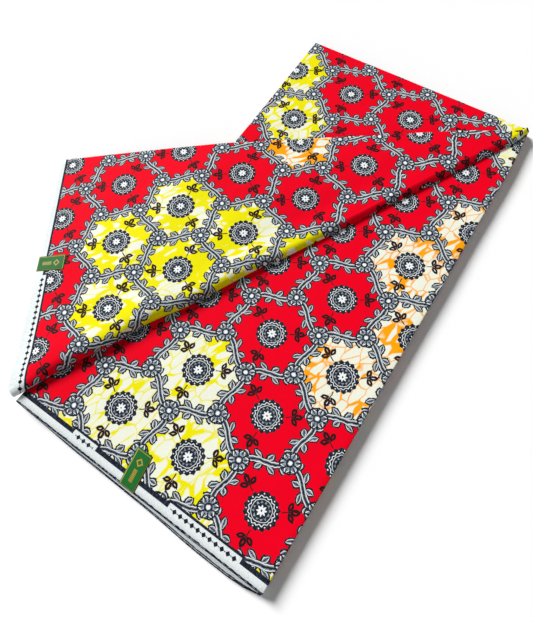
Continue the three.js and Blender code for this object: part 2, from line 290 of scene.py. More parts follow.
def join_sheets(pieces, name):
    """Puts several sheets into one object, as layers of one doubled cloth."""
    first = pieces[0]
    with bpy.context.temp_override(active_object=first, selected_editable_objects=pieces):
        bpy.ops.object.join()
    first.name = name
    first.data.name = name
    return first


# %% [markdown]
# ## The front panel
#
# This is the doubled panel that lies face up, right of the diagonal. Two layers of cloth are
# joined by the doubling fold at the far end. At the right both turn down, into the next panel.
# The grid's rows run from the upper selvedge to the far fold and back under to the lower one.

# %% Front panel
EDGE_INSET = 1.5
LAYER_STEP = (WALL - LAYER) / 2
FRONT_MIDDLE = FRONT_BOTTOM + WALL / 2
TURN_RADIUS = 0.15
LOWER_SLIP = 1.1


def doubled_rows(count, under_count, far):
    """(share of the length, layer) from a near edge round the far fold and back."""
    rows = [(share, 1.0, 0.0) for share in spaced(count, 0, 1)]
    for angle in spaced(4, 0, math.pi)[1:-1]:
        rows.append((1.0, math.cos(angle), far * math.sin(angle)))
    rows += [(share, -1.0, 0.0) for share in spaced(under_count, 1, 0)]
    return rows


FRONT_ROWS = doubled_rows(110, 40, LAYER_STEP)
FRONT_COLUMNS = [(share, 0.0) for share in spaced(56, 0, 1)]
FRONT_COLUMNS += [(1.0, angle) for angle in spaced(5, 0, 2.1)[1:]]


def front_place(i, j):
    share_x, angle = FRONT_COLUMNS[i]
    share_y, layer, out = FRONT_ROWS[j]
    slip = LOWER_SLIP * (1 - layer) / 2 * (1 + 0.5 * crumple(share_x * PANEL_WIDTH, 0, 3))
    y = blend(NEAR - slip, -NEAR - LAYER_STEP, share_y) + out
    radius = TURN_RADIUS + LAYER_STEP * (1 + layer)
    right = right_edge(y) - TURN_RADIUS - 2 * LAYER_STEP
    x = blend(left_edge(y) + EDGE_INSET, right, share_x) + radius * math.sin(angle)
    z = FRONT_MIDDLE + LAYER_STEP * layer - radius * (1 - math.cos(angle))
    edge = ease(share_x, 1.0, 0.9) * ease(share_y, 0.0, 0.03)
    z += front_wave(x, y) + front_creases(x, y) * edge * (1 + layer) / 2
    down = PANEL_LENGTH * (share_y if layer > 0 else 2 - share_y)
    return (x, y, z), ((x - LEFT) * MM, down * MM)


front_cloth = make_sheet(
    "front_panel_cloth", len(FRONT_COLUMNS) - 1, len(FRONT_ROWS) - 1, front_place, LAYER
)
print("front panel:", len(front_cloth.data.polygons), "faces")

# %% [markdown]
# ## The turned panel
#
# The top panel was turned over on its diagonal. Its under part still lies at the left. On the
# diagonal the doubled cloth makes a soft roll, tight against the front panel and open above,
# because thick cloth won't crease sharply by itself. From the roll the flap reaches out. Each
# row of the grid is one cut square to the diagonal: round the left fold, along the under part,
# round the roll and out along the flap. Two such sheets make the doubled cloth.

# %% Stations and one cut across
STRIP_STEPS = 34
FLAP_STEPS = 46
LEAST_UNDER = 7.0
WRAP_START = (14.0, 40.0)
TURNED_ENDS = (0.5, 3.0)


def turned_stations():
    """Cuts square to the diagonal, close together at its two ends."""
    start, end = TURNED_ENDS
    opening = [blend(start, FLAP_PEAK[0], t**1.3) for t in spaced(34, 0, 1)]
    middle = spaced(52, FLAP_PEAK[0], STRIP_PEAK[0])
    closing = [
        blend(STRIP_PEAK[0], DIAGONAL - end, 1 - (1 - t) ** 1.4) for t in spaced(26, 0, 1)
    ]
    return opening + middle[1:] + closing[1:]


def turned_cut(along):
    """The middle line of the doubled cloth as (across, height, is it the flap) rows."""
    width = read(ROLL_WIDTH, along)
    strip = max(strip_reach(along), LEAST_UNDER)
    flap = max(flap_reach(along), width + 1)
    crease = read(CREASE_RADIUS, along)
    turn = (WALL + GAP) / 2
    wrapped = ease(along, *WRAP_START) if along < STRIP_PEAK[0] - 1 else 0.0
    edge = strip_height(along, strip)
    cut = []
    for angle in spaced(6, 0, math.pi):
        flat = strip - angle / math.pi * turn
        rounded = strip - turn + turn * math.sin(angle)
        drop = turn * (1 + math.cos(angle)) * wrapped
        cut.append((blend(flat, rounded, wrapped), edge - drop, 0))
    for across in spaced(STRIP_STEPS, strip - 2 * turn, crease):
        cut.append((across, strip_height(along, across), 0))
    floor = strip_height(along, crease)
    for angle in spaced(5, 0, math.pi / 2)[1:]:
        across = crease * (1 - math.sin(angle))
        cut.append((across, floor + crease * (1 - math.cos(angle)), 1))
    rise = read(ROLL_HEIGHT, along) - crease
    belly = read(ROLL_BELLY, along)
    for angle in spaced(10, 0, math.pi / 2)[1:-1]:
        across = width * (1 - math.cos(angle) - belly * math.sin(2 * angle))
        cut.append((across, floor + crease + rise * math.sin(angle), 1))
    for share in spaced(FLAP_STEPS, 0, 1):
        across = blend(width, flap, share**1.25)
        cut.append((across, flap_height(along, across), 1))
    return cut


STATIONS = turned_stations()
CUTS = [turned_cut(along) for along in STATIONS]
print("turned panel:", len(STATIONS), "cuts of", len(CUTS[0]), "places")

# %% Two layers of the turned panel
SHIFT_FADE = (10.0, 40.0)
TURNED_STEP = (WALL - LAYER) / 2
SELVEDGE = Vector(FLAP_PEAK).normalized()
INWARD = Vector((SELVEDGE.y, -SELVEDGE.x))


def square_offset(cut, k, distance):
    """Moves one place of a cut square to the cloth."""
    before = cut[max(k - 1, 0)]
    after = cut[min(k + 1, len(cut) - 1)]
    step = Vector((after[0] - before[0], after[1] - before[1])).normalized()
    return cut[k][0] - step.y * distance, cut[k][1] + step.x * distance


def lengths_to_end(cut):
    """How much cloth lies between each place of a cut and the free edge."""
    total = 0.0
    found = [0.0]
    for a, b in zip(reversed(cut[1:]), reversed(cut[:-1])):
        total += math.hypot(a[0] - b[0], a[1] - b[1])
        found.append(total)
    return list(reversed(found))


TO_END = [lengths_to_end(cut) for cut in CUTS]


def turned_place(side):
    def place(i, j):
        along = STATIONS[j]
        cut = CUTS[j]
        across, height = square_offset(cut, i, side * TURNED_STEP)
        on_flap = cut[i][2]
        fade = 1 - ease(across, *SHIFT_FADE)
        spot = plan(along, across + read(ROLL_SHIFT, along) * fade)
        height += turned_creases(spot, on_flap) * ease(TO_END[j][i], 0, CALM_EDGE)
        if on_flap:
            unfolded = Vector((along, flap_reach(along) - TO_END[j][i]))
            return (*spot, height), (SELVEDGE.dot(unfolded) * MM, INWARD.dot(unfolded) * MM)
        return (*spot, height), ((spot.x - LEFT) * MM, (spot.y - NEAR) * MM)

    return place


turned_layers = [
    make_sheet(f"layer{side}", len(CUTS[0]) - 1, len(STATIONS) - 1, turned_place(side), LAYER)
    for side in (1, -1)
]
turned_cloth = join_sheets(turned_layers, "turned_panel_cloth")
print("turned panel:", len(turned_cloth.data.polygons), "faces")

# %% [markdown]
# ## The hidden panels
#
# Under the front panel lie sixteen more. All that shows of them is their edges: the selvedges
# fanned out at the near end, the doubling folds at the far end, and the turns at both sides.
# They could be faked with grooves in a block, but the edges look right from every side only
# when they are real, so this is one doubled cloth that runs to and fro from top to bottom.

# %% The way of the doubled cloth, to and fro
PANELS = 16
PITCH = STACK_TOP / PANELS
HALF_STEP = PITCH / 4
HIDDEN_LAYER = 0.24
FAR_REACH = 4.5
FAR_SPREAD = {"foot": 0.8, "swell": 0.2, "tuck": 0.55}
SIDE_INSET = 0.8
SLIP = 0.7
SLIP_TURN = 2.4
SLIP_PHASE = {"far": 1.9, "right": 3.1, "left": 4.4}
NEAR_REACH = [(-155, 3.0), (-57, 5.5), (21, 6.5), (88, 9.2), (125, 9.0), (145, 6.5), (155, 3.0)]
BUNCHES = [(14, 0.20), (12, 0.42), (9, 0.62), (6, 0.78), (3, 0.88), (0, 0.95)]


def slip(end, panel):
    return SLIP * math.sin(SLIP_TURN * panel + SLIP_PHASE[end])


def spread_at(height):
    """The far folds lie furthest out near the middle of the stack."""
    share = height / STACK_TOP
    swell = FAR_SPREAD["swell"] * math.sin(math.pi * share)
    return FAR_SPREAD["foot"] + swell - FAR_SPREAD["tuck"] * share**3


def ragged_edge(panel, layer, x):
    """No two selvedges lie quite in line."""
    return 0.3 * math.sin(3.7 * panel + 2.1 * layer) + 0.5 * crumple(x, 0, panel, 90)


def near_share(panel):
    """Panels lie in a few bunches, and each bunch reaches further than the one on it."""
    return next(share for lowest, share in BUNCHES if panel >= lowest)


def stack_columns():
    """(panel, share of its width, angle round a fold) from the top panel down."""
    columns = []
    for panel in range(PANELS - 1, -1, -1):
        ends = (1, 0) if panel % 2 else (0, 1)
        columns += [(panel, share, None) for share in spaced(18, *ends)]
        if panel:
            columns += [(panel, ends[1], angle) for angle in spaced(4, 0, math.pi)[1:-1]]
    return columns


STACK_COLUMNS = stack_columns()
STACK_ROWS = doubled_rows(14, 14, HALF_STEP)


def stack_place(i, j):
    panel, share, angle = STACK_COLUMNS[i]
    share_y, layer, out = STACK_ROWS[j]
    height = (panel + 0.5) * PITCH
    sign = 1.0 if panel % 2 else -1.0
    normal = Vector((0.0, sign))
    y_guess = blend(NEAR, -NEAR, share_y)
    left = left_edge(y_guess) + SIDE_INSET - slip("left", panel) + PITCH / 2
    right = right_edge(y_guess) - SIDE_INSET + slip("right", panel) - PITCH / 2
    x = blend(left, right, share)
    if angle is not None:
        outward = 1.0 if share else -1.0
        x += outward * PITCH / 2 * math.sin(angle)
        height += PITCH / 2 * (math.cos(angle) - 1)
        normal = Vector((-math.sin(angle), sign * math.cos(angle)))
    offset = layer * HALF_STEP
    fan = read(NEAR_REACH, x) * near_share(panel)
    near = NEAR - fan - ragged_edge(panel, layer, x) * ease(share_y, 0.2, 0)
    far = -NEAR + FAR_REACH * spread_at(height) + slip("far", panel)
    y = blend(near, far, share_y) + out
    down = PANEL_LENGTH * (share_y if layer > 0 else 2 - share_y)
    run = (PANELS - 1 - panel + (1 - share if panel % 2 else share)) * PANEL_WIDTH
    spot = (x + normal.x * offset, y, height + normal.y * offset)
    return spot, (run * MM, down * MM)


stack_cloth = make_sheet(
    "hidden_panels_cloth", len(STACK_COLUMNS) - 1, len(STACK_ROWS) - 1, stack_place, HIDDEN_LAYER
)
print("hidden panels:", len(stack_cloth.data.polygons), "faces")

# %% [markdown]
# ## The two stickers
#
# A seller's sticker is folded round the cloth's edge to hold the layers together. Each is a
# strip of coated paper, so it is one small grid that follows the cloth in from the edge, and
# turns down over it.

# %% Stickers
PAPER = 0.16
STICKER_LIFT = 0.16
TURN_LENGTH = 0.9
TURN_REACH = 0.55
CALM_NEAR = 18
NEAR_STICKER_TURN = 0.145
FLAP_STICKER_ALONG = 157


def sticker(name, width, inward, skirt, outwards, surface):
    """surface(distance inward, distance sideways) is the top of the cloth there."""
    lengths = spaced(22, inward, 0) + spaced(4, -0.4, -skirt)
    sides = spaced(8, width / 2, -width / 2)
    whole = inward + skirt

    def place(i, j):
        distance, side = lengths[j], sides[i]
        x, y, z = surface(max(distance, 0.0), side)
        spot = Vector((x, y, z + STICKER_LIFT))
        if distance < 0:
            turn = min(-distance / TURN_LENGTH, 1.0) * math.pi / 2
            spot += outwards * (TURN_REACH * math.sin(turn))
            spot.z -= TURN_REACH * (1 - math.cos(turn)) + max(-distance - TURN_LENGTH, 0.0)
        return spot, ((inward - distance) / whole, side / width + 0.5)

    return make_sheet(name, len(sides) - 1, len(lengths) - 1, place, PAPER, "paper")


def near_surface(distance, side):
    x = -2.5 + side - distance * math.tan(NEAR_STICKER_TURN)
    y = NEAR + distance
    return x, y, FRONT_TOP + front_wave(x, y) + front_creases(x, y) * ease(distance, 0, CALM_NEAR)


def flap_surface(distance, side):
    flat = SELVEDGE * (FLAP_STICKER_ALONG - side) + INWARD * distance
    across = flat.y + bulge(flat.x)
    spot = plan(flat.x, across)
    lift = turned_creases(spot, 1) * ease(distance, 0, CALM_EDGE)
    return spot.x, spot.y, flap_height(flat.x, across) + WALL / 2 + lift


near_sticker = sticker("near_sticker", 18.5, 35.5, 2.2, Vector((0, -1, 0)), near_surface)
flap_out = -(ALONG * INWARD.x + ACROSS * INWARD.y)
flap_sticker = sticker("flap_sticker", 20.5, 33.5, 1.9, Vector((*flap_out, 0)), flap_surface)
print("stickers:", len(near_sticker.data.polygons) + len(flap_sticker.data.polygons), "faces")

# %% [markdown]
# ## Writing a pattern as sums
#
# A wax print is built from a few shapes that repeat: a trellis, a rosette in each of its cells
# and a small flower at each of its corners. Each shape is a sum over the place on the cloth, so
# it is drawn with Math nodes, sharp at any size and with no picture. A term is one number of
# such a sum. Adding or comparing two terms adds a node, which keeps long sums readable.

# %% Terms


def join_to(tree, socket, value):
    if isinstance(value, Term):
        tree.links.new(value.socket, socket)
    else:
        socket.default_value = value


class Term:
    """One number, or one colour, of a pattern in a node tree."""

    def __init__(self, tree, socket):
        self.tree = tree
        self.socket = socket

    def math(self, operation, *others, clamped=False):
        node = self.tree.nodes.new("ShaderNodeMath")
        node.operation = operation
        node.use_clamp = clamped
        for socket, value in zip(node.inputs, (self, *others)):
            join_to(self.tree, socket, value)
        return Term(self.tree, node.outputs[0])

    def __add__(self, other):
        return self.math("ADD", other)

    def __sub__(self, other):
        return self.math("SUBTRACT", other)

    def __mul__(self, other):
        return self.math("MULTIPLY", other)

    def __truediv__(self, other):
        return self.math("DIVIDE", other)

    def __lt__(self, other):
        return self.math("LESS_THAN", other)

    def __gt__(self, other):
        return self.math("GREATER_THAN", other)

    def __abs__(self):
        return self.math("ABSOLUTE")

    def either(self, other):
        return self.math("MAXIMUM", other)

    def both(self, other):
        return self.math("MINIMUM", other)

    def beat(self):
        """Counts from -0.5 to 0.5 round each whole number."""
        return self - self.math("ROUND")

    def length_with(self, other):
        return (self * self + other * other).math("SQRT")

    def within(self, limit, soft=0.004):
        """1 where the term is under limit and 0 over it, with a soft edge."""
        return ((self - limit) * (-1 / soft)).math("ADD", 0.5, clamped=True)


def texture(tree, kind, place, scale, output=0, **settings):
    node = tree.nodes.new(kind)
    for name, value in settings.items():
        if name in node.inputs:
            node.inputs[name].default_value = value
        else:
            setattr(node, name, value)
    join_to(tree, node.inputs["Vector"], place)
    node.inputs["Scale"].default_value = scale
    return Term(tree, node.outputs[output])


def vector_of(tree, x, y, z=0.0):
    node = tree.nodes.new("ShaderNodeCombineXYZ")
    for socket, value in zip(node.inputs, (x, y, z)):
        join_to(tree, socket, value)
    return Term(tree, node.outputs[0])


def parts_of(tree, vector):
    node = tree.nodes.new("ShaderNodeSeparateXYZ")
    join_to(tree, node.inputs[0], vector)
    return [Term(tree, socket) for socket in node.outputs]


def dye(red, green, blue):
    """A colour from 0 to 255 as it looks on a screen, made ready for the nodes."""
    linear = []
    for part in (red, green, blue):
        share = part / 255
        low = share / 12.92
        high = ((share + 0.055) / 1.055) ** 2.4
        linear.append(low if share <= 0.04045 else high)
    return (*linear, 1.0)


def paint(tree, below, mask, above):
    """Lays one colour over another where the mask is 1."""
    node = tree.nodes.new("ShaderNodeMix")
    node.data_type = "RGBA"
    join_to(tree, node.inputs[0], mask)
    join_to(tree, node.inputs[6], below)
    join_to(tree, node.inputs[7], above)
    return Term(tree, node.outputs[2])


def new_group(name, inputs, outputs):
    tree = bpy.data.node_groups.new(name, "ShaderNodeTree")
    for socket_name, kind, value in inputs:
        socket = tree.interface.new_socket(socket_name, in_out="INPUT", socket_type=kind)
        if value is not None:
            socket.default_value = value
    for socket_name, kind in outputs:
        tree.interface.new_socket(socket_name, in_out="OUTPUT", socket_type=kind)
    entry = tree.nodes.new("NodeGroupInput")
    exit_node = tree.nodes.new("NodeGroupOutput")
    given = {socket.name: Term(tree, socket) for socket in entry.outputs if socket.name}
    return tree, given, exit_node


print("red dye:", [round(part, 3) for part in dye(250, 2, 40)])

# %% [markdown]
# ## The trellis
#
# The design is made of six-sided cells. Two grids of oblongs, one set halfway into the other,
# give the middles of such cells: each place on the cloth belongs to the nearer middle. From
# that middle come the distance, the turn, and how far the place is from the cell's border.

# %% Places in a six-sided trellis
CELL = 0.086
ROOT3 = math.sqrt(3)
SIXTH = math.pi / 3
HALF_SIDE = 0.5 / ROOT3


def trellis(tree, x, y):
    even_x, even_y = x.beat(), (y / ROOT3).beat() * ROOT3
    odd_x = (x - 0.5).beat()
    odd_y = (y / ROOT3 - 0.5).beat() * ROOT3
    nearer = even_x.length_with(even_y) < odd_x.length_with(odd_y)
    local_x = odd_x + nearer * (even_x - odd_x)
    local_y = odd_y + nearer * (even_y - odd_y)
    radius = local_x.length_with(local_y)
    turn = local_y.math("ARCTAN2", local_x)
    off_turn = (turn / SIXTH).beat() * SIXTH
    border = radius * off_turn.math("COSINE") - 0.5
    beside = radius * off_turn.math("SINE")
    return {
        "radius": radius,
        "turn": turn,
        "border": border,
        "beside": beside,
        "cell_x": x - local_x,
        "cell_y": y - local_y,
    }


# %% [markdown]
# ## The motifs
#
# Each motif puts out masks: where its dark outline is, where its pale filling is and where the
# white of the cloth shows. A rosette has rings of points, dots and petals. A garland of leaves
# winds along each border. A flower with six petals covers each corner, and sprigs stand round
# each rosette.

# %% Rosettes and sprigs


def points(turn, count):
    """Rises to 1 at each of count points round a ring, and falls to 0 between."""
    return abs((turn * (count / math.tau)).beat()) * 2.0


def dots(radius, turn, count, ring, size):
    beside = (turn * (count / math.tau)).beat() * (math.tau / count) * radius
    return (radius - ring).length_with(beside).within(size)


def beyond(value, limit, soft=0.004):
    return (value * -1.0).within(-limit, soft)


ROSETTE_SCALE = 1.12
ROSETTE_TIPS = 16
ROSETTE_RIM = 0.205
DOT_RING = 0.190
ZIGZAG_RING = 0.150
PLAIN_RING = 0.130
PETAL_RINGS = (0.118, 0.088)
STAR_RADIUS = 0.034
STAR_HOLE = 0.011


def rosette(place):
    """From the rim in: dots, a zigzag, a plain ring, twelve petals and a star."""
    radius, turn = place["radius"] * ROSETTE_SCALE, place["turn"]
    tips = points(turn, ROSETTE_TIPS)
    dark = (radius - tips * 0.026).within(ROSETTE_RIM)
    zigzag = abs(radius - tips * 0.020 - ZIGZAG_RING).within(0.0055)
    ring = abs(radius - PLAIN_RING).within(0.0035)
    outer, inner = PETAL_RINGS
    petals = (radius + points(turn, 12) * 0.036).within(outer).both(beyond(radius, inner))
    star = (radius - points(turn, 8) * 0.036).within(STAR_RADIUS)
    rim_dots = dots(radius, turn, ROSETTE_TIPS, DOT_RING, 0.0080)
    white = zigzag.either(ring).either(star).either(rim_dots)
    return dark, petals, white.both(beyond(radius, STAR_HOLE))


def leaf_shape(x, y, length, width):
    """1 at the edge of a leaf with pointed ends, and less inside."""
    return (x / length) * (x / length) + abs(y) / width


SPRIG_FOOT = 0.285
SPRIG_LEAN = math.radians(62)


def sprigs(place):
    """Three sprigs round each rosette, each with a middle leaf and one at either side."""
    turned = (place["turn"] / (2 * SIXTH) - 0.25).beat() * (2 * SIXTH)
    out = place["radius"] * turned.math("COSINE") - SPRIG_FOOT
    side = abs(place["radius"] * turned.math("SINE"))
    along = out * math.cos(SPRIG_LEAN) + side * math.sin(SPRIG_LEAN) - 0.062
    over = side * math.cos(SPRIG_LEAN) - out * math.sin(SPRIG_LEAN)
    middle_leaf = leaf_shape(out - 0.075, side, 0.060, 0.036)
    leaf = middle_leaf.both(leaf_shape(along, over, 0.055, 0.033))
    notches = abs(((out * 0.7 + side) / 0.020).beat())
    stem = side.within(0.0065).both(abs(out + 0.010).within(0.060))
    solid = (leaf + notches * 0.4).within(1.10, 0.06)
    return solid.both(beyond(leaf, 0.14, 0.06)).either(stem)


# %% Garlands and corner flowers
LEAF_BEAT = HALF_SIDE / 2
LEAF_AWAY = 0.066
LEAF_LEAN = math.radians(40)
LEAF_SIZE = (0.062, 0.040)
STEM_WINDING = 0.030
STEM_HALF = 0.038


def garland(place):
    """A stem that winds along the cell's border, with leaves on both its sides."""
    border, beside = place["border"], place["beside"]
    winding = border - (beside * (math.pi / HALF_SIDE)).math("SINE") * STEM_WINDING
    away = abs(winding)
    thorns = abs((beside / (LEAF_BEAT / 4)).beat()) * 2.0
    step = (abs(beside) / LEAF_BEAT - 0.5).beat() * LEAF_BEAT
    x = step * math.cos(LEAF_LEAN) + (away - LEAF_AWAY) * math.sin(LEAF_LEAN)
    y = (away - LEAF_AWAY) * math.cos(LEAF_LEAN) - step * math.sin(LEAF_LEAN)
    leaf = leaf_shape(x, y, *LEAF_SIZE)
    bead = ((beside / (LEAF_BEAT / 3)).beat() * (LEAF_BEAT / 3)).length_with(away)
    stem = (away - thorns * 0.018).within(STEM_HALF)
    dark = (leaf - thorns * 0.24).within(1.06, 0.08).either(stem)
    white = leaf.within(0.66, 0.06).either(abs(away - 0.0235).within(0.0045))
    pale = leaf.within(0.50, 0.06).either(abs(away - 0.0135).within(0.0036))
    vein = abs(y).within(0.0060).both(leaf.within(0.56, 0.06)).either(bead.within(0.0080))
    return dark, pale, white, vein


FLOWER_SCALE = 1.20
PETAL_SWELL = 0.056
PETAL_EDGES = {"dark": 0.100, "white": 0.080, "pale": 0.064}
FLOWER_RING = 0.048
FLOWER_MIDDLE = 0.028


def corner_flower(place):
    """Six petals, with a vein down each, round a ring and a white middle."""
    from_corner = abs(place["beside"]) - HALF_SIDE
    radius = place["border"].length_with(from_corner) * FLOWER_SCALE
    turn = from_corner.math("ARCTAN2", place["border"]) + math.pi / 2
    petals = abs((turn * 3.0).math("COSINE"))
    edge = radius - petals * PETAL_SWELL
    dark, white, pale = (edge.within(PETAL_EDGES[part]) for part in ("dark", "white", "pale"))
    vein = beyond(petals, 0.965, 0.03).both(beyond(radius, 0.070))
    ring = abs(radius - FLOWER_RING).within(0.0110)
    gap = petals.within(0.36, 0.1)
    vein = vein.either(ring).either(gap).both(radius.within(0.150))
    return dark, pale, white, vein, radius.within(FLOWER_MIDDLE)


# %% [markdown]
# ## The grounds
#
# Under the motifs each cell is red, yellow or orange. In the yellow and orange ones the wax
# resist has cracked: pale bubbles stay white, and the dye runs between them in veins. Bubbles
# are the cells of a Voronoi texture, whose borders are the veins, and a slower noise says where
# the dye has run together.

# %% Ground colours
RED = dye(238, 0, 32)
YELLOW = dye(240, 232, 6)
ORANGE = dye(255, 166, 10)
CREAM = dye(240, 242, 224)
INDIGO = dye(22, 27, 38)
SLATE = dye(52, 60, 74)
MIST = dye(176, 187, 195)
STEEL = dye(112, 123, 134)
BARK = dye(44, 26, 30)
COTTON = dye(242, 246, 245)
BARE = dye(233, 239, 239)
BARE_SHADE = dye(203, 211, 214)
EDGE_DYE = dye(24, 36, 62)
YELLOW_OVER = 0.520
ORANGE_UNDER = 0.305


def ground(tree, place, cloth, run, batch):
    """run is how much of the yellow has run together, from 0 to 1."""
    cell = vector_of(tree, place["cell_x"], place["cell_y"], batch)
    cluster = texture(tree, "ShaderNodeTexNoise", cell, 0.36, Detail=0.0)
    yellow = cluster > YELLOW_OVER
    orange = cluster < ORANGE_UNDER
    drift = texture(tree, "ShaderNodeTexNoise", cloth, 38.0, Detail=2.0)
    slow = texture(tree, "ShaderNodeTexNoise", cloth, 24.0, Detail=2.0, Roughness=0.6)
    x, y, _ = parts_of(tree, cloth)
    bent = vector_of(tree, x + drift * 0.012, (y - x * 0.6) * 0.62 + drift * 0.010)
    veins = texture(
        tree, "ShaderNodeTexVoronoi", bent, 88.0, feature="DISTANCE_TO_EDGE", Randomness=1.0
    )
    reach_of_dye = (slow + run - orange * 0.03 - 0.5) * 1.3
    dyed = (veins - reach_of_dye.math("MAXIMUM", 0.035)) * -14.0
    dyed = dyed.math("ADD", 0.5, clamped=True)
    bright = paint(tree, YELLOW, orange, ORANGE)
    crackled = paint(tree, CREAM, dyed, bright)
    return paint(tree, paint(tree, RED, yellow, crackled), orange, crackled)


# %% [markdown]
# ## The selvedge
#
# Along the selvedge the cloth is left white for eight millimetres, then a dark line closes the
# print. A mill prints its words there. Here those places hold a row of plain lozenges instead.

# %% Selvedge bands
MARGIN = 0.008
BOX_STEP = 0.0050
BOX_LINE = 0.0024
LOZENGE_PITCH = 0.0068
LOZENGE_HALF = 0.0026
LOZENGE_ROW = 0.0086
LOZENGE_CLEAR = 0.0030


def between(value, start, end, soft=0.0002):
    inside = abs(value - (start + end) / 2)
    return inside.within((end - start) / 2, soft)


def selvedge(tree, x, from_edge, boxes, usual_end):
    """boxes holds where the two bare places start and end."""
    to_box = (abs(x - boxes[0]) - boxes[1]).both(abs(x - boxes[2]) - boxes[3])
    boxed = to_box < 0.0
    lined = to_box < BOX_LINE
    margin = (from_edge - boxed * BOX_STEP - MARGIN).within(0.0, 0.0002)
    box_end = (usual_end * -1.0 + (MARGIN + BOX_STEP + BOX_LINE)) * lined
    line_end = box_end + usual_end
    line = (from_edge - line_end).within(0.0, 0.0002)
    across = (x / LOZENGE_PITCH).beat() * LOZENGE_PITCH
    lozenge = (abs(across) + abs(from_edge - LOZENGE_ROW)).within(LOZENGE_HALF, 0.0002)
    dot = (abs(across) - LOZENGE_PITCH / 2).length_with(from_edge - LOZENGE_ROW)
    ornament = lozenge.either(dot.within(0.0006, 0.0002))
    return margin, line, ornament.both(to_box < -LOZENGE_CLEAR)


# %% The print's named inputs
PRINT_INPUTS = {
    "Run together": 0.5,
    "First place": -1.0,
    "First half": 0.0,
    "Second place": -1.0,
    "Second half": 0.0,
    "Pattern x": 0.0,
    "Pattern y": 0.0,
    "Edge dye": 0.0003,
    "Batch": 0.0,
    "Line end": 0.0125,
    "Dye period": 1.0,
    "Dye phase": 0.0,
}
print_tree, given, print_out = new_group(
    "wax_print",
    [("Cloth", "NodeSocketVector", None)]
    + [(name, "NodeSocketFloat", value) for name, value in PRINT_INPUTS.items()],
    [("Colour", "NodeSocketColor"), ("Ink", "NodeSocketFloat")],
)
cloth_x, cloth_y, _ = parts_of(print_tree, given["Cloth"])
print("print inputs:", len(given))


# %% Grounds and motifs, laid one over another
def cloth_noise(tree, where, scale, detail=2.0):
    return texture(tree, "ShaderNodeTexNoise", where, scale, Detail=detail)


jitter = (cloth_noise(print_tree, given["Cloth"], 210.0, 1.0) - 0.5) * 0.0016
cell = trellis(
    print_tree,
    (cloth_x + given["Pattern x"] + jitter) / CELL,
    (cloth_y + given["Pattern y"] - jitter) / CELL,
)
colour = ground(print_tree, cell, given["Cloth"], given["Run together"], given["Batch"])
mottle = cloth_noise(print_tree, given["Cloth"], 420.0)
mottle = ((mottle - 0.42) * 4.0).math("ADD", 0.0, clamped=True)
ink = paint(print_tree, INDIGO, mottle, SLATE)
fill = paint(print_tree, STEEL, mottle, MIST)
sprig_dark = sprigs(cell)
leaf_dark, leaf_pale, leaf_white, leaf_vein = garland(cell)
rose_dark, rose_pale, rose_white = rosette(cell)
bud_dark, bud_pale, bud_white, bud_vein, bud_middle = corner_flower(cell)
for mask, above in (
    (sprig_dark, BARK),
    (leaf_dark, ink),
    (leaf_white, COTTON),
    (leaf_pale, fill),
    (leaf_vein, ink),
    (rose_dark, ink),
    (rose_pale, fill),
    (rose_white, COTTON),
    (bud_dark, ink),
    (bud_white, COTTON),
    (bud_pale, fill),
    (bud_vein, ink),
    (bud_middle, COTTON),
):
    colour = paint(print_tree, colour, mask, above)
inked = leaf_dark.either(rose_dark).either(bud_dark).either(sprig_dark)
print("print group:", len(print_tree.nodes), "nodes so far")

# %% The selvedge, laid over the print
HALF_LENGTH = PANEL_LENGTH * MM
from_edge = abs(cloth_y - HALF_LENGTH) * -1.0 + HALF_LENGTH
boxes = [given[name] for name in ("First place", "First half", "Second place", "Second half")]
margin, line, ornament = selvedge(print_tree, cloth_x, from_edge, boxes, given["Line end"])
streak = vector_of(print_tree, cloth_x * 0.35, cloth_y)
grey = ((cloth_noise(print_tree, streak, 1400.0) - 0.5) * 5.0).math("ADD", 0.0, clamped=True)
bare = paint(print_tree, BARE, grey, BARE_SHADE)
fringe = cloth_noise(print_tree, given["Cloth"], 260.0, 1.0)
panel = cloth_x / (PANEL_WIDTH * MM) - given["Dye phase"]
dyed_panel = abs((panel / given["Dye period"]).beat()) * given["Dye period"] < 0.51
dyed_edge = (from_edge - given["Edge dye"] * (fringe * 2.0)).within(0.0, 0.0002)
for mask, above in (
    (line, ink),
    (margin, bare),
    (ornament, ink),
    (dyed_edge.both(dyed_panel), EDGE_DYE),
):
    colour = paint(print_tree, colour, mask, above)
print_tree.links.new(colour.socket, print_out.inputs["Colour"])
print_tree.links.new(inked.socket, print_out.inputs["Ink"])
print("print group:", len(print_tree.nodes), "nodes")

# %% [markdown]
# ## The weave
#
# Wax print is a close plain weave, about three threads to a millimetre, with the odd thicker
# thread. Close up it is a fine chequer of over and under. Soft handling creases go on top.

# %% Weave group
THREADS = 2800.0
weave_tree, threads, weave_out = new_group(
    "plain_weave",
    [("Cloth", "NodeSocketVector", None), ("Threads", "NodeSocketFloat", THREADS)],
    [("Height", "NodeSocketFloat"), ("Shade", "NodeSocketFloat")],
)
warp_x, weft_y, _ = parts_of(weave_tree, threads["Cloth"])
warp = (warp_x * threads["Threads"] * math.pi).math("SINE")
weft = (weft_y * threads["Threads"] * math.pi).math("SINE")
chequer = warp * weft
slubs = cloth_noise(weave_tree, threads["Cloth"], 900.0, 1.0)
handled = texture(
    weave_tree, "ShaderNodeTexNoise", threads["Cloth"], 34.0, Detail=3.0, Distortion=0.6
)
weave_height = chequer * 0.06 + slubs * 0.12 + handled * 1.9
# The Shade output tones the colour: thicker threads are a little lighter (a real tone), and the
# handling creases are painted a little lighter on their ridges and darker in their hollows
# (painted shade).
slub_tone_and_crease_shade = slubs * 0.10 + handled * 0.06 + 0.91
weave_tree.links.new(weave_height.socket, weave_out.inputs["Height"])
weave_tree.links.new(slub_tone_and_crease_shade.socket, weave_out.inputs["Shade"])
print("weave group:", len(weave_tree.nodes), "nodes")

